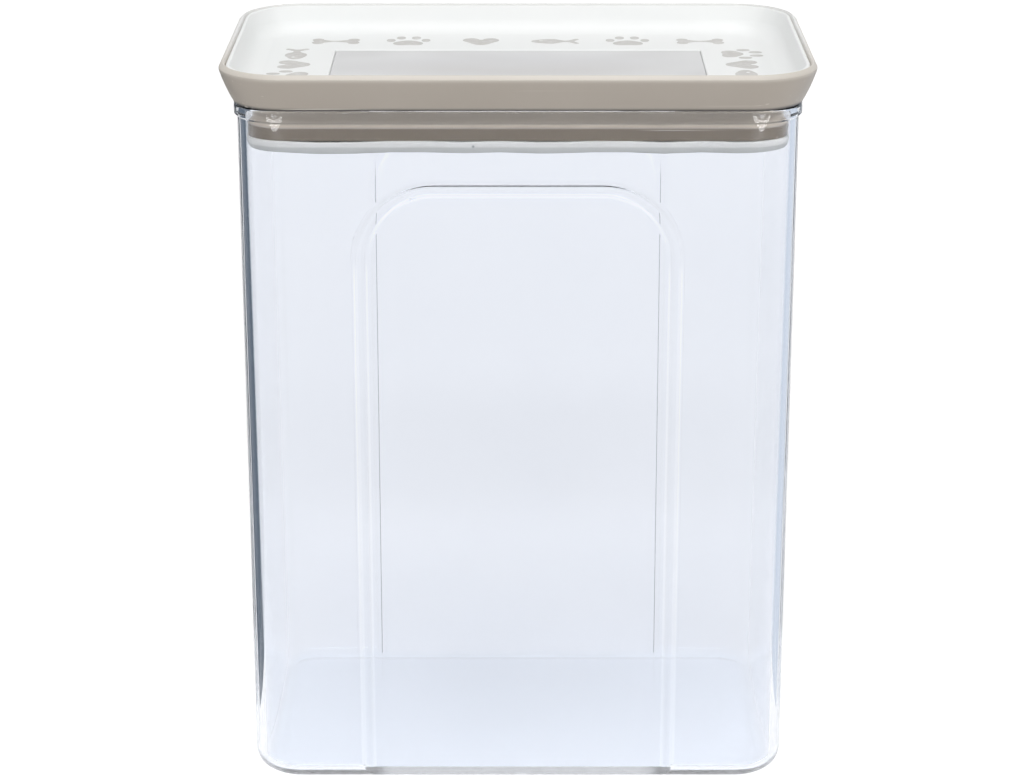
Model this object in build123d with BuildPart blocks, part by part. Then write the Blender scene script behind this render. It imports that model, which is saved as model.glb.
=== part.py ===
from build123d import *
from math import atan2, degrees
import os

# Food storage jar: a clear rectangular jar, and a lid that plugs into its mouth
# and lifts off. Millimetres, +Z up. The origin is the middle of the underside.
# X runs along the jar's width, and the front is the -Y side.

# Jar. Its wall is thinnest at the mouth: the outer faces stand upright and the
# inner ones lean out towards the top.
jar_width = 170.0
jar_depth = 100.0
jar_height = 220.5
jar_corner_radius = 15.5
jar_wall = 2.4
jar_base_wall = 3.3
jar_floor = 3.0
jar_base_radius = 6.2

# Collar around the jar's mouth
rim_overhang = 1.0
rim_height = 4.0
rim_round = 0.9
rim_chamfer = 0.7
mouth_round = 0.6

# Arched panels pressed into the jar's front and back, open at the base
panel_width = 98.6
panel_below_rim = 23.3
panel_corner_radius = 24.0
panel_depth = 2.6
panel_slope = 3.5
panel_outer_round = 1.8
panel_inner_round = 2.8

# Gaps between the pieces
seat_gap = 0.3
seal_wall_gap = 0.35
groove_gap = 0.05
tray_gap = 0.1
pane_gap = 0.2
stack_gap = 0.2

# Lid shell: a flared skirt with a bead along its top edge
lid_height = 11.4
flare_out = 4.1
flare_bulge = 0.3
bead_height = 1.9
bead_chamfer = 1.2
bead_round = 0.25
skirt_wall = 1.6
deck_thickness = 1.3

# Plug under the lid, from its deck down to the lip that holds the seal on
neck_inset = 2.3
neck_height = 3.4
cove_height = 2.9
flange_inset = 0.7
flange_height = 3.6
plug_wall = 2.0
groove_depth = 2.3
groove_height = 2.7
lip_height = 0.8
lip_inset = 2.1

# Silicone seal, which leans on the jar's wall
seal_height = 3.8
seal_shoulder = 1.6
seal_band = 0.7
seal_taper = 0.5
seal_lead = 0.2
seal_round = 0.3

# Tray: the white dish in the top of the lid
tray_below_rim = 0.5
tray_wall = 1.4
tray_floor = 1.4
tray_edge_round = 0.5

# Window let into the tray's floor, on a ledge
window_width = 116.6
window_depth = 43.0
window_corner_radius = 1.2
window_chamfer = 0.3
window_sink = 0.2
ledge_width = 4.0
ledge_thickness = 1.2
ledge_border = 2.0

# How far the cutting shapes run past what they cut
cut_margin = 1.0

# Levels up the lid
lid_bottom = jar_height + seat_gap
lid_top = lid_bottom + lid_height
deck_top = lid_bottom + deck_thickness
cove_top = lid_bottom - neck_height
flange_top = cove_top - cove_height
flange_bottom = flange_top - flange_height
groove_bottom = flange_bottom - groove_height
plug_bottom = groove_bottom - lip_height
seal_top = flange_bottom - groove_gap
seal_crease = seal_top - seal_shoulder
seal_bottom = seal_top - seal_height
tray_top = lid_top - tray_below_rim
tray_surface = deck_top + tray_floor

# The tray's floor is rounded so that the base of another jar sits down in it
tray_round = jar_base_radius - stack_gap

# Faces of the lid, as distances outside the rim's outline
skirt_low = -skirt_wall
skirt_high = flare_out - skirt_wall
skirt_slope = (skirt_high - skirt_low) / (lid_top - deck_top)
mouth_face = -rim_overhang - jar_wall
neck_face = mouth_face - neck_inset
flange_face = mouth_face - flange_inset
groove_face = flange_face - groove_depth
lip_face = mouth_face - lip_inset
plug_inside = groove_face - plug_wall
seal_face = mouth_face - seal_wall_gap

# The wall keeps its thickness down a panel's slope, so the panel's outline on
# the inner surface is larger by this much than on the outer one.
panel_top = jar_height - panel_below_rim
panel_slant = (panel_slope**2 + panel_depth**2) ** 0.5
panel_shift = jar_wall * (panel_slant - panel_slope) / panel_depth

wall_lean = degrees(atan2(jar_base_wall - jar_wall, jar_height))

rim_half_width = jar_width / 2 + rim_overhang
rim_half_depth = jar_depth / 2 + rim_overhang
rim_corner = jar_corner_radius + rim_overhang


def outline(outside, level):
    """The rim's outline, grown by a distance, as a face at a level."""
    with BuildSketch(Plane.XY.offset(level)) as face:
        RectangleRounded(
            2 * (rim_half_width + outside),
            2 * (rim_half_depth + outside),
            rim_corner + outside,
        )
    return face.sketch


def cavity_outline(level):
    """The outline of the jar's inside, as a face at a level."""
    wall = jar_base_wall + (jar_wall - jar_base_wall) * level / jar_height
    with BuildSketch(Plane.XY.offset(level)) as face:
        RectangleRounded(
            jar_width - 2 * wall,
            jar_depth - 2 * wall,
            jar_corner_radius - wall,
        )
    return face.sketch


def nest(level):
    """How far outside the rim's outline the skirt's inner face is at a level."""
    return skirt_low + skirt_slope * (level - deck_top)


def arch(grow, wall_depth):
    """A panel's upright outline, grown all round, at a depth behind the front."""
    half = panel_width / 2 + grow
    top = panel_top + grow
    radius = panel_corner_radius + grow
    foot = -jar_base_radius
    with BuildSketch(Plane.XZ.offset(jar_depth / 2 - wall_depth)) as face:
        with BuildLine():
            Line((-half, foot), (-half, top - radius))
            RadiusArc((-half, top - radius), (radius - half, top), radius)
            Line((radius - half, top), (half - radius, top))
            RadiusArc((half - radius, top), (half, top - radius), radius)
            Line((half, top - radius), (half, foot))
            Line((half, foot), (-half, foot))
        make_face()
    return face.sketch


def arch_edges(space, half, top, border):
    """The panel's edges, grouped by their depth, without its foot and the slab's."""
    edges = space.edges().filter_by_position(Axis.Z, 0, top + border)
    return edges.filter_by_position(Axis.X, -half - border, half + border).group_by(
        Axis.Y
    )


def panel_space(grow, wall_depth, face_round, foot_round):
    """The space that the front panel takes, from one surface of the wall inwards."""
    half = panel_width / 2 + grow
    top = panel_top + grow
    border = face_round + cut_margin
    with BuildPart() as space:
        with BuildSketch(Plane.XZ.offset(jar_depth / 2 - wall_depth)):
            with Locations((0, top + border)):
                Rectangle(
                    2 * (half + border),
                    top + 2 * border + jar_base_radius,
                    align=(Align.CENTER, Align.MAX),
                )
        extrude(amount=cut_margin)
        loft(
            sections=[
                arch(grow, wall_depth),
                arch(grow - panel_slope, wall_depth + panel_depth),
            ],
            ruled=True,
        )
        fillet(arch_edges(space, half, top, face_round)[0], radius=face_round)
        fillet(arch_edges(space, half, top, face_round)[-1], radius=foot_round)
    return space.part


outer_panel = panel_space(0, 0, panel_outer_round, panel_inner_round)
inner_panel = panel_space(
    panel_shift, jar_wall, panel_inner_round, panel_outer_round
)

# The inner panel leans with the wall's inner face, about the mouth's edge
mouth_edge = Axis((0, jar_wall - jar_depth / 2, jar_height), (1, 0, 0))
inner_panel = inner_panel.rotate(mouth_edge, wall_lean)

with BuildPart() as cavity:
    loft(
        sections=[cavity_outline(jar_floor), cavity_outline(jar_height + cut_margin)],
        ruled=True,
    )
    fillet(
        cavity.faces().sort_by(Axis.Z)[0].edges(),
        radius=jar_base_radius - jar_base_wall,
    )
    add(inner_panel, mode=Mode.SUBTRACT)
    add(inner_panel.rotate(Axis.Z, 180), mode=Mode.SUBTRACT)

with BuildPart() as jar_body:
    with BuildSketch():
        RectangleRounded(jar_width, jar_depth, jar_corner_radius)
    extrude(amount=jar_height)
    fillet(jar_body.faces().sort_by(Axis.Z)[0].edges(), radius=jar_base_radius)
    with BuildSketch(Plane.XY.offset(jar_height - rim_height)):
        RectangleRounded(2 * rim_half_width, 2 * rim_half_depth, rim_corner)
    extrude(amount=rim_height)
    underside = jar_body.faces().filter_by(Axis.Z).sort_by(Axis.Z)[1]
    chamfer(underside.outer_wire().edges(), length=rim_chamfer)
    fillet(jar_body.faces().sort_by(Axis.Z)[-1].edges(), radius=rim_round)
    add(outer_panel, mode=Mode.SUBTRACT)
    add(outer_panel.rotate(Axis.Z, 180), mode=Mode.SUBTRACT)
    add(cavity.part, mode=Mode.SUBTRACT)
    mouth = jar_body.faces().sort_by(Axis.Z)[-1].inner_wires()[0]
    fillet(mouth.edges(), radius=mouth_round)
jar_body.part.label = "jar_body"

# The lid's sections are drawn in the middle of the front and swept round the
# rim's outline. Their points are (distance outside that outline, level).
with BuildLine() as rim_path:
    Line((0, -rim_half_depth), (rim_half_width - rim_corner, -rim_half_depth))
    CenterArc(
        (rim_half_width - rim_corner, rim_corner - rim_half_depth), rim_corner, -90, 90
    )
    Line(
        (rim_half_width, rim_corner - rim_half_depth),
        (rim_half_width, rim_half_depth - rim_corner),
    )
    CenterArc(
        (rim_half_width - rim_corner, rim_half_depth - rim_corner), rim_corner, 0, 90
    )
    Line((rim_half_width - rim_corner, rim_half_depth), (0, rim_half_depth))
    mirror(about=Plane.YZ)
section_plane = Plane(
    origin=(0, -rim_half_depth, 0), x_dir=(0, -1, 0), z_dir=(-1, 0, 0)
)

with BuildPart() as lid_shell:
    with BuildSketch(section_plane) as shell_section:
        with BuildLine():
            ThreePointArc(
                (0, lid_bottom),
                (
                    flare_out / 2 + flare_bulge,
                    (lid_bottom + lid_top - bead_height) / 2,
                ),
                (flare_out, lid_top - bead_height),
            )
            Polyline(
                (flare_out, lid_top - bead_height),
                (flare_out, lid_top - bead_chamfer),
                (flare_out - bead_chamfer, lid_top),
                (skirt_high, lid_top),
                (skirt_low, deck_top),
                (plug_inside, deck_top),
                (plug_inside, plug_bottom),
                (lip_face, plug_bottom),
                (lip_face, groove_bottom),
                (groove_face, groove_bottom),
                (groove_face, flange_bottom),
                (flange_face, flange_bottom),
                (flange_face, flange_top),
            )
            TangentArc(
                (neck_face, cove_top), (flange_face, flange_top), tangent=(0, -1)
            )
            Polyline((neck_face, cove_top), (neck_face, lid_bottom), (0, lid_bottom))
        make_face()
        fillet(shell_section.vertices().sort_by(Axis.Y)[-4:], radius=bead_round)
    sweep(path=rim_path.line)
lid_shell.part.label = "lid_shell"

with BuildPart() as seal_ring:
    with BuildSketch(section_plane) as seal_section:
        with BuildLine():
            Polyline(
                (groove_face + groove_gap, seal_top),
                (flange_face - seal_lead, seal_top),
                (seal_face, seal_crease),
                (seal_face, seal_crease - seal_band),
                (seal_face - seal_taper, seal_bottom),
                (lip_face + groove_gap, seal_bottom),
                (lip_face + groove_gap, groove_bottom + groove_gap),
                (groove_face + groove_gap, groove_bottom + groove_gap),
                close=True,
            )
        make_face()
        outer_side = seal_section.vertices().sort_by(Axis.X)[-4:]
        fillet(outer_side, radius=seal_round)
    sweep(path=rim_path.line)
seal_ring.part.label = "seal_ring"

with BuildPart() as dish:
    loft(
        sections=[
            outline(nest(tray_surface) - tray_gap - tray_wall, tray_surface),
            outline(
                nest(tray_top + cut_margin) - tray_gap - tray_wall,
                tray_top + cut_margin,
            ),
        ],
        ruled=True,
    )
    fillet(dish.faces().sort_by(Axis.Z)[0].edges(), radius=tray_round)

with BuildPart() as lid_tray:
    loft(
        sections=[
            outline(nest(deck_top) - tray_gap, deck_top),
            outline(nest(tray_top) - tray_gap, tray_top),
        ],
        ruled=True,
    )
    add(dish.part, mode=Mode.SUBTRACT)
    fillet(lid_tray.faces().sort_by(Axis.Z)[-1].edges(), radius=tray_edge_round)
    with BuildSketch(Plane.XY.offset(deck_top)):
        RectangleRounded(
            window_width + 2 * ledge_border,
            window_depth + 2 * ledge_border,
            window_corner_radius + ledge_border,
        )
    extrude(amount=-ledge_thickness)
    with BuildSketch(Plane.XY.offset(deck_top)):
        RectangleRounded(window_width, window_depth, window_corner_radius)
    extrude(amount=tray_floor + cut_margin, mode=Mode.SUBTRACT)
    with BuildSketch(Plane.XY.offset(deck_top)):
        RectangleRounded(
            window_width - 2 * ledge_width,
            window_depth - 2 * ledge_width,
            window_corner_radius,
        )
    extrude(amount=-ledge_thickness - cut_margin, mode=Mode.SUBTRACT)
    tray_face = lid_tray.faces().filter_by(Axis.Z).group_by(Axis.Z)[-2][0]
    chamfer(tray_face.inner_wires()[0].edges(), length=window_chamfer)
lid_tray.part.label = "lid_tray"

with BuildPart() as window_pane:
    with BuildSketch(Plane.XY.offset(deck_top)):
        RectangleRounded(
            window_width - 2 * pane_gap,
            window_depth - 2 * pane_gap,
            window_corner_radius - pane_gap,
        )
    extrude(amount=tray_floor - window_sink)
window_pane.part.label = "window_pane"

os.makedirs("parts", exist_ok=True)
export_step(jar_body.part, "parts/jar_body.step")
export_step(lid_shell.part, "parts/lid_shell.step")
export_step(seal_ring.part, "parts/seal_ring.step")
export_step(lid_tray.part, "parts/lid_tray.step")
export_step(window_pane.part, "parts/window_pane.step")
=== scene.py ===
import bpy
import math
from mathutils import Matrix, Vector


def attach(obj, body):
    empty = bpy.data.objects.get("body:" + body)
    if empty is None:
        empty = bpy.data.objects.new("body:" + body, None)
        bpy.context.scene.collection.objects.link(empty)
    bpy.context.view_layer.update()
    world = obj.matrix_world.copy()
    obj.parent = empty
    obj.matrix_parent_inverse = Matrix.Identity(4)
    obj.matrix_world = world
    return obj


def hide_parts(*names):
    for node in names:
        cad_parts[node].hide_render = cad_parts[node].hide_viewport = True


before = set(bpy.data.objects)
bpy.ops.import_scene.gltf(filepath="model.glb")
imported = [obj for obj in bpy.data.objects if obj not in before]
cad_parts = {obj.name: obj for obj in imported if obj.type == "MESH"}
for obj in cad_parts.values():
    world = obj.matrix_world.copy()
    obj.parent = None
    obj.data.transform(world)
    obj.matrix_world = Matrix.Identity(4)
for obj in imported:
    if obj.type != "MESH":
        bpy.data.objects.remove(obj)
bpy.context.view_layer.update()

# Lengths are in metres and angles in degrees, unless a line says otherwise.
# Colours are linear red, green and blue. Pairs of colours are mixed over the surface.

# Camera, as the photograph was taken
camera_distance = 0.902
camera_height = 0.4238
camera_pitch = 18.82
camera_lens_mm = 101.95
camera_sensor_mm = 36.0
camera_nearest = 0.01
camera_farthest = 60.0

# White surroundings: how bright they look, and how much they light
world_seen = 1.0
world_light = 0.35

# Floor. Its lift towards white grows over a reach from the middle. In gloss, the floor in
# front of the jar keeps only front_mirrored of it, and the rest comes back over a fade
# along Y.
floor_size = 14
floor_level = -0.0004
floor_colour = (0.8, 0.8, 0.8)
floor_lift_near = 0.43
floor_lift_far = 0.8
floor_lift_reach = (0.15, 1.6)
front_mirrored = 0.0
front_fade = (-0.12, -0.05)

# Matt bounces past which light no longer sees the white surroundings
matt_bounces = 0.5

# Cards beside the jar, and the count of clear surfaces past which light misses them
card_near = 0.104
card_far = 0.32
card_height = 0.24
card_last_crossing = 2.5
left_card_colour = (0.126, 0.157, 0.198)
right_card_colour = (0.70, 0.765, 0.86)

# Lamps: name, place, the point they face, size, watts and shape. The two glints are the
# small highlights on the corners of the plug.
lamps = (
    ("top_lamp", (0, -0.35, 1.75), (0, 0, 0.2), (1.2, 0.8), 10.0, "RECTANGLE"),
    ("front_lamp", (0, -1.5, 1.5), (0, 0, 0.2), (1.4, 0.22), 7.0, "RECTANGLE"),
    ("left_lamp", (-1.3, -0.9, 1.1), (0, 0, 0.15), (0.3, 0.3), 2.7, "RECTANGLE"),
    ("left_glint", (-0.31, -0.49, 0.0946), (-0.0755, -0.0485, 0.216), (0.28, 0.0058),
     0.06, "ELLIPSE"),
    ("right_glint", (0.31, -0.49, 0.0946), (0.0755, -0.0485, 0.216), (0.28, 0.0058),
     0.06, "ELLIPSE"),
    ("right_lamp", (1.3, -0.9, 1.1), (0, 0, 0.15), (0.3, 0.3), 4.7, "RECTANGLE"),
)
light_bounces = 32

# Moulded grain: the fine skin's share beside the swell, and the slow drift in tone
grain_fine_share = 0.25
grain_swell_scale = 260
grain_drift_scale = 22
grain_drift_range = (0.3, 0.7)

# Handling marks: blots that turn into smudges, and stretched hairs into scratches
smudge_scale = 30
smudge_range = (-0.1, 0.2)
scratch_stretch = (9, 700, 700)
scratch_turn = (0.3, 0.2, 0.5)
scratch_range = (0.68, 0.74)

# Skin of each finish: scale of its grain, depth of its relief, strength of its relief
skins = {
    "clear_styrene": (14.0, 0.000004, 0.3),
    "taupe_plastic": (1700.0, 0.00004, 0.5),
    "white_plastic": (2100.0, 0.000004, 0.4),
    "frosted_window": (1200.0, 0.000004, 0.5),
    "silicone": (900.0, 0.00003, 0.4),
    "grey_ink": (1300.0, 0.000005, 0.4),
}

# Handling of each finish: threshold of its smudges, roughness when clean and smudged
handling = {
    "clear_styrene": (0.58, 0.0, 0.006),
    "taupe_plastic": (0.52, 0.42, 0.36),
    "white_plastic": (0.5, 0.44, 0.48),
    "frosted_window": (0.5, 0.4, 0.44),
}

# Clear wall. Its mirror strength is held under half of the full one.
plastic_ior = 1.5
clear_wall = ((0.871, 0.889, 0.925), (0.879, 0.896, 0.931))
clear_mirror = (0.45, 0.45, 0.45)
clear_shadow = (0.97, 0.975, 0.985)
clear_base = (0.86, 0.885, 0.925)
clear_base_width = 0.0045
clear_base_core = 0.6
clear_base_roughness = 0.12

# Painted lines on the recesses' upright edges: pale painted highlights on the front
# recess and a thin dark painted shade on the back. Columns: side (-1 front, 1 back),
# how far out the face lies, distance from the middle, half width, top, colour
painted_recess_lines = (
    (-1.0, 0.0435, 0.0463, 0.0006, 0.175, (0.97, 0.98, 0.995)),
    (-1.0, 0.0435, 0.0497, 0.0006, 0.175, (0.97, 0.98, 0.995)),
    (1.0, 0.047, 0.0469, 0.00021, 0.181, (0.05, 0.06, 0.1)),
)
# Height over which the painted edge lines fade out, up to their top
painted_line_fade = 0.008

# Lid shell, and its bands of painted light and shade on the plug and skirt: height,
# half width, share that stays full, colour. The bead's painted highlight goes from its
# front colour to its paler back colour over bead_depth, along Y.
taupe_face = ((0.498, 0.446, 0.388), (0.516, 0.463, 0.405))
taupe_painted_bands = (
    (0.2176, 0.0032, 0.8, (0.72, 0.625, 0.51)),  # neck of the plug: painted light, paler
    (0.2125, 0.0022, 0.8, (0.22, 0.175, 0.125)),  # flange of the plug: painted shade, darker
    (0.2208, 0.0011, 0.0, (0.09, 0.085, 0.08)),  # foot of the skirt: painted shade where it turns under
)
taupe_scratch = (0.63, 0.58, 0.52)
bead_top = 0.2322
bead_width = 0.0028
# Painted highlight on the bead: front colour, then the paler back colour
bead_highlight_colours = ((0.66, 0.62, 0.56), (0.84, 0.84, 0.83))
bead_depth = (-0.045, 0.02)
plug_middle = 0.2082
plug_half_height = 0.0125
plug_edge = 0.02
plug_polish = -0.16

# Tray
white_face = ((0.88, 0.895, 0.89), (0.89, 0.90, 0.895))
tray_surface = 0.2235

# Window, with painted shade darker towards its middle, and there most of all at its front,
# along Y; its margin is left unshaded
window_half_width = 0.0583
window_half_depth = 0.0215
window_painted_shade = ((0.585, 0.575, 0.57), (0.665, 0.67, 0.69))
window_painted_shade_depth_span = (-0.018, 0.022)
window_unshaded_margin = (0.70, 0.705, 0.71)
window_painted_shade_reach = (0.35, 1.15)
window_smudge = (0.64, 0.64, 0.645)

# Silicone of the seal
silicone_clearness = 0.1
silicone_body = ((0.82, 0.825, 0.79), (0.85, 0.855, 0.82))
silicone_roughness = (0.38, 0.48)
# Band of painted light where the seal is pressed against the clear wall
pressed_painted_light = (1.0, 0.985, 0.94)
painted_light_level = 0.2103
painted_light_width = 0.0016
painted_light_core = 0.75
moulding_dot = (-0.0134, -0.0472, 0.2092)
moulding_dot_edge = (0.0002, 0.0006)
moulding_dot_colour = (0.52, 0.54, 0.53)

# Shape of the seal
seal_half_width = 0.08222
seal_half_depth = 0.04722
seal_corner = 0.0127
seal_corner_steps = 12
seal_width = 0.0026
seal_top = 0.21083
seal_height = 0.00362
seal_crease = 0.2091
seal_crease_height = 0.0006
seal_cut_spacing = 0.0055
seal_cuts_across = 12
seal_cuts_along = 6
seal_rounding = 0.0003
seal_rounding_steps = 3
seal_rounding_angle = 40
seal_smooth_angle = 35

# How the seal's outer face draws in: below which height, and by how much
seal_draws = (
    (seal_crease - 0.0003, 0.0002),
    (seal_top - seal_height + 0.0002, 0.0004),
)

# Dips along the seal's front and back: place along X, and drop
seal_dips = ((-0.062, 0.0005), (-0.048, 0.0004), (-0.018, 0.00028), (0.008, 0.00034),
             (0.046, 0.0004), (0.064, 0.0003))
seal_dip_half_width = 0.003
seal_dip_reach = 0.011

# Ink of the prints
ink_thickness = 0.00006
ink_body = ((0.54, 0.525, 0.505), (0.58, 0.57, 0.55))
ink_thin = (0.64, 0.63, 0.615)
ink_cover_scale = 420
ink_cover_detail = 3
ink_cover_roughness = 0.6
ink_thin_cover = (0.42, 0.66)
ink_rough_cover = (0.3, 0.7)
ink_roughness = (0.42, 0.55)

# The printed motifs as closed outlines, in units of motif_unit
motif_unit = 0.0012
motif_curve_steps = 5
motif_merge = 1e-6
motifs = {
    "bone": [
        [(-3.0, 1.5), (3.0, 1.5), (3.6, 2.8), (5.2, 3.3), (6.4, 1.8), (5.9, 0.0),
         (6.4, -1.8), (5.2, -3.3), (3.6, -2.8), (3.0, -1.5), (-3.0, -1.5), (-3.6, -2.8),
         (-5.2, -3.3), (-6.4, -1.8), (-5.9, 0.0), (-6.4, 1.8), (-5.2, 3.3), (-3.6, 2.8)],
    ],
    "fish": [
        [(-6.4, 0.0), (-3.8, 2.3), (-0.4, 2.8), (3.0, 0.8), (6.2, 3.0), (5.2, 0.0),
         (6.2, -3.0), (3.0, -0.8), (-0.4, -2.8), (-3.8, -2.3)],
        [(-4.4, 0.6), (-3.8, 1.1), (-3.2, 0.6), (-3.8, 0.1)],
    ],
    "heart": [
        [(0.0, -4.6), (3.4, -1.4), (4.9, 1.4), (3.4, 3.7), (1.3, 3.4), (0.0, 1.9),
         (-1.3, 3.4), (-3.4, 3.7), (-4.9, 1.4), (-3.4, -1.4)],
    ],
    "paw": [
        [(0.0, -4.6), (3.2, -4.4), (4.0, -2.2), (2.2, 0.0), (0.0, 1.0), (-2.2, 0.0),
         (-4.0, -2.2), (-3.2, -4.4)],
        [(-5.9, 1.2), (-4.7, 3.0), (-3.5, 1.2), (-4.7, -0.6)],
        [(-3.3, 4.3), (-2.0, 6.1), (-0.8, 4.3), (-2.0, 2.5)],
        [(0.8, 4.3), (2.0, 6.1), (3.3, 4.3), (2.0, 2.5)],
        [(3.5, 1.2), (4.7, 3.0), (5.9, 1.2), (4.7, -0.6)],
    ],
}

# Rows of motifs, each with its place along the row, and how far out the rows lie,
# in millimetres
long_row = ((-59, "bone"), (-35.5, "paw"), (-12, "heart"), (12, "fish"), (35.5, "paw"),
            (59, "bone"))
long_row_place = 34.5
short_row = ((-15.5, "fish"), (0, "heart"), (15.5, "paw"))
short_row_place = 70.5


# Selecting and editing, as by hand


def deselect():
    bpy.ops.object.select_all(action="DESELECT")


def pick(pieces):
    """Selects only these pieces and makes the first one active."""
    deselect()
    for piece in pieces:
        piece.select_set(True)
    bpy.context.view_layer.objects.active = pieces[0]


def edit():
    """Opens the active mesh in edit mode, with all of it selected."""
    bpy.ops.object.mode_set(mode="EDIT")
    bpy.ops.mesh.select_all(action="SELECT")


def leave_edit():
    bpy.ops.object.mode_set(mode="OBJECT")


def choose(piece, test):
    """In edit mode, selects only the vertices whose place passes a test."""
    bpy.ops.mesh.select_mode(type="VERT")
    bpy.ops.mesh.select_all(action="DESELECT")
    leave_edit()
    for vertex in piece.data.vertices:
        vertex.select = test(vertex.co)
    bpy.ops.object.mode_set(mode="EDIT")


def cut(direction, places):
    """In edit mode, cuts the whole mesh square to a direction at each place along it."""
    for place in places:
        bpy.ops.mesh.select_all(action="SELECT")
        bpy.ops.mesh.bisect(plane_co=Vector(direction) * place, plane_no=direction)


# Nodes


def put(tree, socket, value):
    """Gives a socket a number, a vector, a colour or another node's output."""
    if isinstance(value, bpy.types.NodeSocket):
        tree.links.new(value, socket)
    elif socket.type == "RGBA":
        socket.default_value = (*value, 1)
    else:
        socket.default_value = value


def calculate(tree, operation, *values):
    """A sum worked on numbers or other nodes' outputs."""
    math_node = tree.nodes.new("ShaderNodeMath")
    math_node.operation = operation
    for socket, value in zip(math_node.inputs, values):
        put(tree, socket, value)
    return math_node.outputs[0]


def between(tree, source, low, high, start=0.0, end=1.0, ease="SMOOTHSTEP"):
    """A value that goes from start to end as the source goes from low to high."""
    step = tree.nodes.new("ShaderNodeMapRange")
    step.interpolation_type = ease
    put(tree, step.inputs["Value"], source)
    put(tree, step.inputs["From Min"], low)
    put(tree, step.inputs["From Max"], high)
    put(tree, step.inputs["To Min"], start)
    put(tree, step.inputs["To Max"], end)
    return step.outputs["Result"]


def object_place(tree):
    return tree.nodes.new("ShaderNodeTexCoord").outputs["Object"]


def split(tree, vector):
    """The X, Y and Z of a vector."""
    apart = tree.nodes.new("ShaderNodeSeparateXYZ")
    put(tree, apart.inputs[0], vector)
    return apart.outputs


def distance(tree, vector, point=(0, 0, 0)):
    """How far a vector's end lies from a point."""
    gap = tree.nodes.new("ShaderNodeVectorMath")
    gap.operation = "DISTANCE"
    put(tree, gap.inputs[0], vector)
    put(tree, gap.inputs[1], point)
    return gap.outputs["Value"]


def stretch(tree, vector, scale, turn=(0, 0, 0)):
    """A vector turned, in radians, and scaled, to stretch a pattern."""
    mapping = tree.nodes.new("ShaderNodeMapping")
    put(tree, mapping.inputs["Vector"], vector)
    put(tree, mapping.inputs["Rotation"], turn)
    put(tree, mapping.inputs["Scale"], scale)
    return mapping.outputs["Vector"]


def noise(tree, place, scale, detail, roughness=0.5):
    texture = tree.nodes.new("ShaderNodeTexNoise")
    put(tree, texture.inputs["Vector"], place)
    put(tree, texture.inputs["Scale"], scale)
    put(tree, texture.inputs["Detail"], detail)
    put(tree, texture.inputs["Roughness"], roughness)
    return texture.outputs["Fac"]


def mix_colours(tree, factor, first, second):
    """A mix of two colours, each given as numbers or as another node's colour."""
    mix = tree.nodes.new("ShaderNodeMix")
    mix.data_type = "RGBA"
    put(tree, mix.inputs["Factor"], factor)
    first_colour, second_colour = [s for s in mix.inputs if s.type == "RGBA"]
    put(tree, first_colour, first)
    put(tree, second_colour, second)
    return next(s for s in mix.outputs if s.type == "RGBA")


def add_shader(tree, kind, *values, **named_values):
    """A shader node, its sockets given in their order or by name."""
    node = tree.nodes.new(kind)
    for socket, value in zip(node.inputs, values):
        put(tree, socket, value)
    for label, value in named_values.items():
        put(tree, node.inputs[label], value)
    return node.outputs[0]


def empty_tree(owner, output):
    """Clears the nodes of a material or a world. Gives its tree and surface socket."""
    owner.use_nodes = True
    tree = owner.node_tree
    tree.nodes.clear()
    return tree, tree.nodes.new(output).inputs["Surface"]


# Studio


def add_camera():
    """The camera in front of the jar, looking a little down on it."""
    data = bpy.data.cameras.new("camera")
    data.lens = camera_lens_mm
    data.sensor_width = camera_sensor_mm
    data.clip_start = camera_nearest
    data.clip_end = camera_farthest
    camera = bpy.data.objects.new("camera", data)
    camera.location = (0, -camera_distance, camera_height)
    camera.rotation_euler = (math.radians(90 - camera_pitch), 0, 0)
    bpy.context.scene.collection.objects.link(camera)
    bpy.context.scene.camera = camera


def add_lamp(name, place, aim, size, power, shape):
    """A flat lamp at a place, turned towards a point and hidden from the eye."""
    data = bpy.data.lights.new(name, "AREA")
    data.shape = shape
    data.size, data.size_y = size
    data.energy = power
    lamp = bpy.data.objects.new(name, data)
    lamp.location = place
    away = Vector(place) - Vector(aim)
    lamp.rotation_euler = away.to_track_quat("Z", "Y").to_euler()
    lamp.visible_camera = False
    bpy.context.scene.collection.objects.link(lamp)


def seen_directly(tree, mirrored=1.0):
    """1 for what the eye sees straight, mirrored or through something clear.

    Light that has bounced off something matt sees 0, so white surroundings don't
    light the object. The mirrored share may be given, to hold it back in places.
    """
    path = tree.nodes.new("ShaderNodeLightPath").outputs
    seen = calculate(tree, "MULTIPLY", path["Is Glossy Ray"], mirrored)
    for way in ("Is Camera Ray", "Is Transmission Ray"):
        seen = calculate(tree, "MAXIMUM", seen, path[way])
    straight = calculate(tree, "LESS_THAN", path["Diffuse Depth"], matt_bounces)
    return calculate(tree, "MULTIPLY", seen, straight)


def add_world():
    """White to the eye, and a softer light on the object."""
    world = bpy.data.worlds.new("studio")
    bpy.context.scene.world = world
    tree, surface = empty_tree(world, "ShaderNodeOutputWorld")
    light, seen = [
        add_shader(tree, "ShaderNodeBackground", Color=(1, 1, 1), Strength=strength)
        for strength in (world_light, world_seen)
    ]
    mix = add_shader(tree, "ShaderNodeMixShader", seen_directly(tree), light, seen)
    put(tree, surface, mix)


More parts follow.
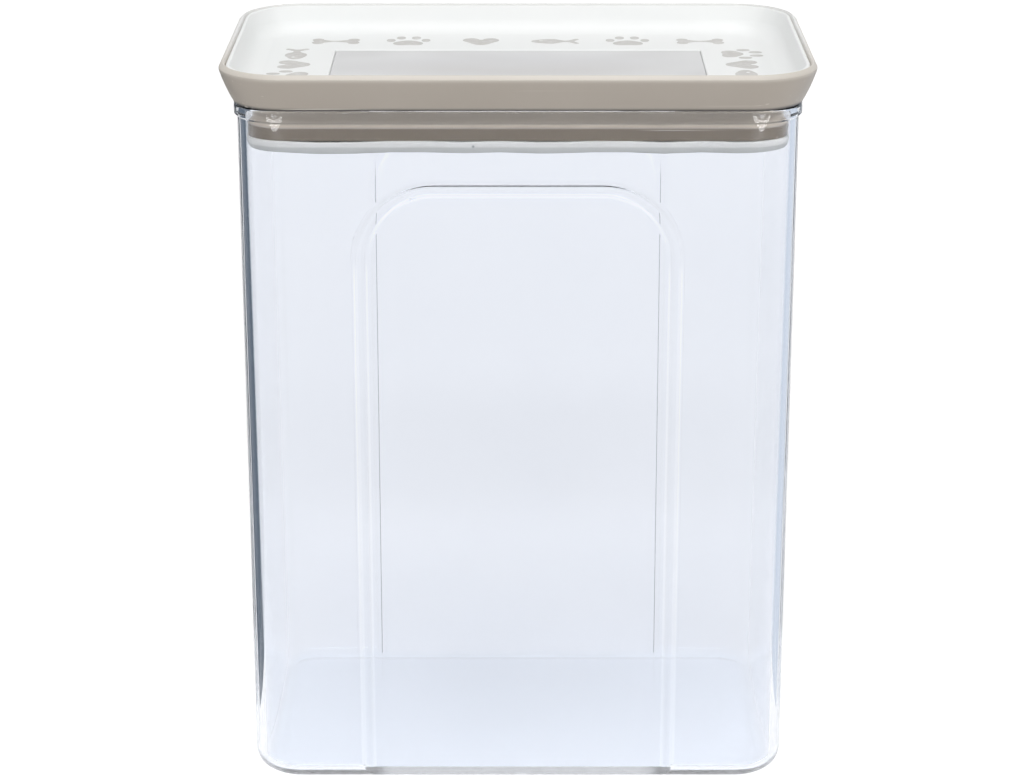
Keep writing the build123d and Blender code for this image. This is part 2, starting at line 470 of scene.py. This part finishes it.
def add_floor():
    """A wide pale floor that keeps the shadow and reads as white."""
    deselect()
    bpy.ops.mesh.primitive_plane_add(size=floor_size, location=(0, 0, floor_level))
    bpy.ops.object.transform_apply(location=True)
    floor = bpy.context.object
    floor.name = "floor"
    material = bpy.data.materials.new("floor_white")
    tree, surface = empty_tree(material, "ShaderNodeOutputMaterial")
    place = object_place(tree)
    rise = between(tree, distance(tree, place), *floor_lift_reach,
                   floor_lift_near, floor_lift_far)
    mirrored = between(tree, split(tree, place)["Y"], *front_fade, front_mirrored,
                       ease="LINEAR")
    level = calculate(tree, "MULTIPLY", seen_directly(tree, mirrored), rise)
    paper = add_shader(tree, "ShaderNodeBsdfDiffuse", Color=floor_colour)
    lift = add_shader(tree, "ShaderNodeEmission", Strength=level)
    put(tree, surface, add_shader(tree, "ShaderNodeAddShader", paper, lift))
    floor.data.materials.append(material)


def add_card(name, side, colour):
    """An upright card beside the jar that only shows in its clear edges.

    Going through one wall crosses two surfaces, so light that has gone on into the
    other wall as well misses the card.
    """
    deselect()
    bpy.ops.mesh.primitive_plane_add(size=1, rotation=(math.pi / 2, 0, 0))
    card = bpy.context.object
    card.name = name
    card.scale = (card_far - card_near, card_height, 1)
    card.location = (side * (card_near + card_far) / 2, 0, card_height / 2)
    bpy.ops.object.transform_apply(location=True, rotation=True, scale=True)
    material = bpy.data.materials.new(name)
    tree, surface = empty_tree(material, "ShaderNodeOutputMaterial")
    path = tree.nodes.new("ShaderNodeLightPath").outputs
    crossed = calculate(tree, "GREATER_THAN", path["Transmission Depth"], card_last_crossing)
    glow = add_shader(tree, "ShaderNodeEmission", Color=colour)
    miss = add_shader(tree, "ShaderNodeBsdfTransparent")
    put(tree, surface, add_shader(tree, "ShaderNodeMixShader", crossed, glow, miss))
    card.data.materials.append(material)
    card.visible_camera = False
    card.visible_diffuse = False
    card.visible_shadow = False


# Shared surface effects


def start_group(name, numbers, results):
    """An empty node group with named number inputs and outputs."""
    group = bpy.data.node_groups.new(name, "ShaderNodeTree")
    for label, value in numbers.items():
        socket = group.interface.new_socket(
            label, in_out="INPUT", socket_type="NodeSocketFloat")
        socket.default_value = value
    for label in results:
        group.interface.new_socket(label, in_out="OUTPUT", socket_type="NodeSocketFloat")
    start = group.nodes.new("NodeGroupInput")
    end = group.nodes.new("NodeGroupOutput")
    return group, start.outputs, end.inputs


def use_group(tree, group, **values):
    node = tree.nodes.new("ShaderNodeGroup")
    node.node_tree = group
    for label, value in values.items():
        put(tree, node.inputs[label], value)
    return node.outputs


def make_moulded_grain():
    """Skin of moulded plastic as a height, and its slow drift in tone.

    A Scale in the thousands gives a fine skin, and one in the tens gives flow waves.
    """
    group, start, end = start_group("moulded_grain", {"Scale": 1500.0}, ("Height", "Drift"))
    place = object_place(group)
    fine = noise(group, place, start["Scale"], detail=1)
    swell = noise(group, place, grain_swell_scale, detail=1)
    slow = noise(group, place, grain_drift_scale, detail=2)
    height = calculate(group, "MULTIPLY_ADD", fine, grain_fine_share, swell)
    put(group, end["Height"], height)
    put(group, end["Drift"], between(group, slow, *grain_drift_range))
    return group


def make_handling_marks():
    """Faint smudges from hands, fewer as Spread grows, and hair-thin rubbing marks."""
    group, start, end = start_group("handling_marks", {"Spread": 0.55}, ("Smudge", "Scratch"))
    place = object_place(group)
    blot = noise(group, place, smudge_scale, detail=1)
    over = calculate(group, "SUBTRACT", blot, start["Spread"])
    put(group, end["Smudge"], between(group, over, *smudge_range))
    drawn_out = stretch(group, place, scratch_stretch, scratch_turn)
    hair = noise(group, drawn_out, 1.0, detail=2)
    put(group, end["Scratch"], between(group, hair, *scratch_range))
    return group


def widths_away(group, value, middle, width):
    """How many widths a value lies from a middle, to either side."""
    gap = calculate(group, "ABSOLUTE", calculate(group, "SUBTRACT", value, middle))
    return calculate(group, "DIVIDE", gap, width)


def make_level_band():
    """1 at a height of the object, fading to 0 over a width above and below it.

    Core is the share of that width that stays full before the fade.
    """
    numbers = {"Level": 0.0, "Width": 0.001, "Core": 0.0}
    group, start, end = start_group("level_band", numbers, ("Mask",))
    height = split(group, object_place(group))["Z"]
    away = widths_away(group, height, start["Level"], start["Width"])
    put(group, end["Mask"], between(group, away, start["Core"], 1.0, 1.0, 0.0))
    return group


def make_painted_edge_lines():
    """1 on two upright lines, one each side of the middle, on the back or the front.
    Used for pale painted highlights on the front recess's edges and dark painted shade
    on the back recess's edges.

    Side is 1 for the back and -1 for the front, Reach how far out a face has to lie,
    Place the lines' distance from the middle, Width their half width, Top their end.
    """
    numbers = {"Side": 1.0, "Reach": 0.04, "Place": 0.047, "Width": 0.0002, "Top": 0.18}
    group, start, end = start_group("painted_edge_lines", numbers, ("Mask",))
    place = split(group, object_place(group))
    aside = calculate(group, "ABSOLUTE", place["X"])
    away = widths_away(group, aside, start["Place"], start["Width"])
    outward = calculate(group, "MULTIPLY", place["Y"], start["Side"])
    outer = calculate(group, "GREATER_THAN", outward, start["Reach"])
    above = calculate(group, "SUBTRACT", place["Z"], start["Top"])
    mask = calculate(group, "MULTIPLY", between(group, away, 0.0, 1.0, 1.0, 0.0), outer)
    below = between(group, above, -painted_line_fade, 0.0, 1.0, 0.0)
    put(group, end["Mask"], calculate(group, "MULTIPLY", mask, below))
    return group


# Materials


def start_plastic(name, grain, clearness=0.0):
    """A plastic with its moulded skin. Gives the material, its tree, shader and drift."""
    scale, depth, strength = skins[name]
    material = bpy.data.materials.new(name)
    material.use_nodes = True
    tree = material.node_tree
    shader = tree.nodes["Principled BSDF"]
    put(tree, shader.inputs["Transmission Weight"], clearness)
    put(tree, shader.inputs["IOR"], plastic_ior)
    skin = use_group(tree, grain, Scale=scale)
    bump = tree.nodes.new("ShaderNodeBump")
    put(tree, bump.inputs["Strength"], strength)
    put(tree, bump.inputs["Distance"], depth)
    put(tree, bump.inputs["Height"], skin["Height"])
    put(tree, shader.inputs["Normal"], bump.outputs["Normal"])
    return material, tree, shader.inputs, skin["Drift"]


def touch(tree, name, marks):
    """Handling marks on a finish. Gives the marks and the roughness they leave."""
    spread, clean, smudged = handling[name]
    left = use_group(tree, marks, Spread=spread)
    return left, between(tree, left["Smudge"], 0.0, 1.0, clean, smudged)


def let_light_through(material, tint):
    """Lamps shine through the clear wall instead of casting its full shadow."""
    tree = material.node_tree
    shader = tree.nodes["Principled BSDF"].outputs[0]
    shadow = tree.nodes.new("ShaderNodeLightPath").outputs["Is Shadow Ray"]
    clear = add_shader(tree, "ShaderNodeBsdfTransparent", Color=tint)
    mix = add_shader(tree, "ShaderNodeMixShader", shadow, shader, clear)
    put(tree, tree.nodes["Material Output"].inputs["Surface"], mix)


def make_clear_plastic(grain, marks, band, painted_lines):
    """Clear styrene with a faint blue cast, flow waves and a few smudges.

    The upright edges of the back recess get two thin lines of painted shade, and those
    of the front recess pale lines of painted highlight. The edge round the base is a little
    dull.
    """
    material, tree, shader, drift = start_plastic("clear_styrene", grain, clearness=1.0)
    put(tree, shader["Specular Tint"], clear_mirror)
    base = use_group(tree, band, Level=0.0, Width=clear_base_width, Core=clear_base_core)
    body = mix_colours(tree, drift, *clear_wall)
    body = mix_colours(tree, base["Mask"], body, clear_base)
    # Painted highlights on the front recess's edges and painted shade on the back recess's
    # edges
    for side, reach, place, width, top, colour in painted_recess_lines:
        painted_edge = use_group(tree, painted_lines, Side=side, Reach=reach, Place=place, Width=width, Top=top)
        body = mix_colours(tree, painted_edge["Mask"], body, colour)
    put(tree, shader["Base Color"], body)
    _, smudged = touch(tree, "clear_styrene", marks)
    dull = calculate(tree, "MULTIPLY_ADD", base["Mask"], clear_base_roughness, smudged)
    put(tree, shader["Roughness"], dull)
    let_light_through(material, clear_shadow)
    return material


def make_taupe_plastic(grain, marks, band):
    """Satin taupe plastic, with a painted highlight on the bead, paler most of all at the back.

    The plug is smoother than the skirt. Its neck has painted light, and its flange and the
    skirt's foot painted shade.
    """
    material, tree, shader, drift = start_plastic("taupe_plastic", grain)
    left, satin = touch(tree, "taupe_plastic", marks)
    body = mix_colours(tree, drift, *taupe_face)
    # Painted light on the plug's neck, painted shade on its flange and on the skirt's foot
    for level, width, core, colour in taupe_painted_bands:
        painted_ring = use_group(tree, band, Level=level, Width=width, Core=core)
        body = mix_colours(tree, painted_ring["Mask"], body, colour)
    # Painted highlight on the bead, paler towards the back
    paler_to_back = between(tree, split(tree, object_place(tree))["Y"], *bead_depth)
    bead_highlight = use_group(tree, band, Level=bead_top, Width=bead_width)
    body = mix_colours(tree, bead_highlight["Mask"], body, mix_colours(tree, paler_to_back, *bead_highlight_colours))
    body = mix_colours(tree, left["Scratch"], body, taupe_scratch)
    put(tree, shader["Base Color"], body)
    plug = use_group(tree, band, Level=plug_middle, Width=plug_half_height)
    inside = between(tree, plug["Mask"], 0.0, plug_edge)
    polish = calculate(tree, "MULTIPLY_ADD", inside, plug_polish, satin)
    put(tree, shader["Roughness"], polish)
    return material


def make_white_plastic(grain, marks):
    """Semi-gloss white plastic with a fine skin and faint wipe marks."""
    material, tree, shader, drift = start_plastic("white_plastic", grain)
    put(tree, shader["Base Color"], mix_colours(tree, drift, *white_face))
    _, satin = touch(tree, "white_plastic", marks)
    put(tree, shader["Roughness"], satin)
    return material


def make_frosted_plastic(grain, marks):
    """Milky window with a satin skin, and painted shade that darkens it towards its middle and
    front.
    """
    material, tree, shader, _ = start_plastic("frosted_window", grain)
    left, satin = touch(tree, "frosted_window", marks)
    place = object_place(tree)
    scale = (1 / window_half_width, 1 / window_half_depth, 0)
    reach = distance(tree, stretch(tree, place, scale))
    # Painted shade, fading out towards the margin, darkest at the front
    shade_fade = between(tree, reach, *window_painted_shade_reach)
    depth = between(tree, split(tree, place)["Y"], *window_painted_shade_depth_span)
    body = mix_colours(tree, shade_fade, mix_colours(tree, depth, *window_painted_shade), window_unshaded_margin)
    body = mix_colours(tree, left["Smudge"], body, window_smudge)
    put(tree, shader["Base Color"], body)
    put(tree, shader["Roughness"], satin)
    return material


def make_silicone(grain, band):
    """Soft whitish silicone, with a band of painted light where it is pressed against the wall.
    """
    material, tree, shader, drift = start_plastic("silicone", grain, silicone_clearness)
    # Painted light where the seal presses on the clear wall
    pressed_light = use_group(tree, band, Level=painted_light_level, Width=painted_light_width,
                        Core=painted_light_core)
    reach = distance(tree, object_place(tree), moulding_dot)
    dot = between(tree, reach, *moulding_dot_edge, 1.0, 0.0)
    body = mix_colours(tree, drift, *silicone_body)
    body = mix_colours(tree, pressed_light["Mask"], body, pressed_painted_light)
    body = mix_colours(tree, dot, body, moulding_dot_colour)
    put(tree, shader["Base Color"], body)
    put(tree, shader["Roughness"], between(tree, drift, 0.0, 1.0, *silicone_roughness))
    return material


def make_ink(grain):
    """Matt grey-brown ink, a little uneven as it was padded on."""
    material, tree, shader, drift = start_plastic("grey_ink", grain)
    cover = noise(tree, object_place(tree), ink_cover_scale, ink_cover_detail,
                  ink_cover_roughness)
    body = mix_colours(tree, drift, *ink_body)
    body = mix_colours(tree, between(tree, cover, *ink_thin_cover), body, ink_thin)
    put(tree, shader["Base Color"], body)
    put(tree, shader["Roughness"], between(tree, cover, *ink_rough_cover, *ink_roughness))
    return material


# Pieces


def draw_motif(name, loops):
    """A flat print from closed outlines, made a thin solid in the middle of the plan."""
    drawing = bpy.data.curves.new(name, "CURVE")
    drawing.dimensions = "2D"
    drawing.fill_mode = "BOTH"
    drawing.extrude = ink_thickness / 2
    drawing.resolution_u = motif_curve_steps
    for loop in loops:
        spline = drawing.splines.new("BEZIER")
        spline.bezier_points.add(len(loop) - 1)
        for point, (x, y) in zip(spline.bezier_points, loop):
            point.co = (x * motif_unit, y * motif_unit, 0)
            point.handle_left_type = "AUTO"
            point.handle_right_type = "AUTO"
        spline.use_cyclic_u = True
    motif = bpy.data.objects.new(name, drawing)
    bpy.context.scene.collection.objects.link(motif)
    pick([motif])
    bpy.ops.object.convert(target="MESH")
    edit()
    bpy.ops.mesh.remove_doubles(threshold=motif_merge)
    bpy.ops.mesh.normals_make_consistent(inside=False)
    leave_edit()
    return bpy.context.object


def print_copy(motif, x, y, turn):
    """One copy of a motif on the tray, turned about its own middle.

    Its place is given in millimetres. The ink is sunk by a quarter of its thickness.
    """
    pick([motif])
    bpy.ops.object.duplicate(linked=False)
    laid = bpy.context.object
    laid.location = (x / 1000, y / 1000, tray_surface + ink_thickness / 4)
    laid.rotation_euler = (0, 0, math.radians(turn))
    bpy.ops.object.transform_apply(location=True, rotation=True, scale=True)
    return laid


def add_prints(ink):
    """The ring of motifs round the window, each row facing outwards."""
    drawn = {name: draw_motif(name + "_pattern", loops) for name, loops in motifs.items()}
    laid = []
    for along, name in long_row:
        laid.append(print_copy(drawn[name], along, long_row_place, 0))
        laid.append(print_copy(drawn[name], -along, -long_row_place, 180))
    for along, name in short_row:
        laid.append(print_copy(drawn[name], short_row_place, along, -90))
        laid.append(print_copy(drawn[name], -short_row_place, -along, 90))
    for motif in drawn.values():
        bpy.data.objects.remove(motif)
    pick(laid)
    bpy.ops.object.join()
    prints = bpy.context.object
    prints.name = "tray_prints"
    prints.data.materials.clear()
    prints.data.materials.append(ink)
    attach(prints, "lid")


def is_outer(place):
    """Whether a point of the seal lies on the outer half of its width."""
    x, y = abs(place.x), abs(place.y)
    across = max(x - (seal_half_width - seal_corner), 0)
    along = max(y - (seal_half_depth - seal_corner), 0)
    if across > 0 and along > 0:
        return math.hypot(across, along) > seal_corner - seal_width / 2
    return x > seal_half_width - seal_width / 2 or y > seal_half_depth - seal_width / 2


def add_seal(silicone):
    """The soft ring in the plug's groove, drawn in below its crease and a little wavy."""
    deselect()
    bpy.ops.mesh.primitive_plane_add(size=1, location=(0, 0, seal_top))
    seal = bpy.context.object
    seal.name = "silicone_seal"
    seal.scale = (2 * seal_half_width, 2 * seal_half_depth, 1)
    bpy.ops.object.transform_apply(location=True, rotation=True, scale=True)
    edit()
    bpy.ops.mesh.bevel(offset=seal_corner, segments=seal_corner_steps, affect="VERTICES",
                       profile=0.5)
    leave_edit()
    edit()
    bpy.ops.mesh.inset(thickness=seal_width)
    bpy.ops.mesh.delete(type="FACE")
    leave_edit()
    thick = seal.modifiers.new("height", "SOLIDIFY")
    thick.thickness = seal_height
    thick.offset = -1
    bpy.ops.object.modifier_apply(modifier=thick.name)
    edit()
    for direction, count in (((1, 0, 0), seal_cuts_across), ((0, 1, 0), seal_cuts_along)):
        cut(direction, [seal_cut_spacing * n for n in range(-count, count + 1)])
    cut((0, 0, 1), (seal_crease, seal_crease - seal_crease_height))
    for top, pull in seal_draws:
        choose(seal, lambda place: place.z < top and is_outer(place))
        shrink = (1 - pull / seal_half_width, 1 - pull / seal_half_depth, 1)
        bpy.ops.transform.resize(value=shrink, center_override=(0, 0, 0))
    for side in (-1, 1):
        for x, drop in seal_dips:
            choose(seal, lambda place: abs(place.x - x) < seal_dip_half_width
                   and place.y * side > 0)
            bpy.ops.transform.translate(
                value=(0, 0, -drop), use_proportional_edit=True,
                proportional_edit_falloff="SMOOTH", proportional_size=seal_dip_reach)
    leave_edit()
    soften = seal.modifiers.new("soft_edges", "BEVEL")
    soften.width = seal_rounding
    soften.segments = seal_rounding_steps
    soften.limit_method = "ANGLE"
    soften.angle_limit = math.radians(seal_rounding_angle)
    bpy.ops.object.modifier_apply(modifier=soften.name)
    edit()
    bpy.ops.mesh.normals_make_consistent(inside=False)
    leave_edit()
    bpy.ops.object.shade_smooth_by_angle(angle=math.radians(seal_smooth_angle))
    seal.data.materials.clear()
    seal.data.materials.append(silicone)
    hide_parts("seal_ring")
    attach(seal, "lid")


add_camera()
add_world()
add_floor()
add_card("left_card", -1, left_card_colour)
add_card("right_card", 1, right_card_colour)
for lamp in lamps:
    add_lamp(*lamp)
bpy.context.scene.view_settings.view_transform = "Standard"
bpy.context.scene.cycles.max_bounces = light_bounces
bpy.context.scene.cycles.glossy_bounces = light_bounces
bpy.context.scene.cycles.transmission_bounces = light_bounces
bpy.context.scene.cycles.transparent_max_bounces = light_bounces

moulded_grain = make_moulded_grain()
handling_marks = make_handling_marks()
level_band = make_level_band()
finishes = {
    "jar_body": make_clear_plastic(
        moulded_grain, handling_marks, level_band, make_painted_edge_lines()),
    "lid_shell": make_taupe_plastic(moulded_grain, handling_marks, level_band),
    "lid_tray": make_white_plastic(moulded_grain, handling_marks),
    "window_pane": make_frosted_plastic(moulded_grain, handling_marks),
    "seal_ring": make_silicone(moulded_grain, level_band),
}
for name, finish in finishes.items():
    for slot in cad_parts[name].material_slots:
        slot.material = finish

add_prints(make_ink(moulded_grain))
add_seal(finishes["seal_ring"])
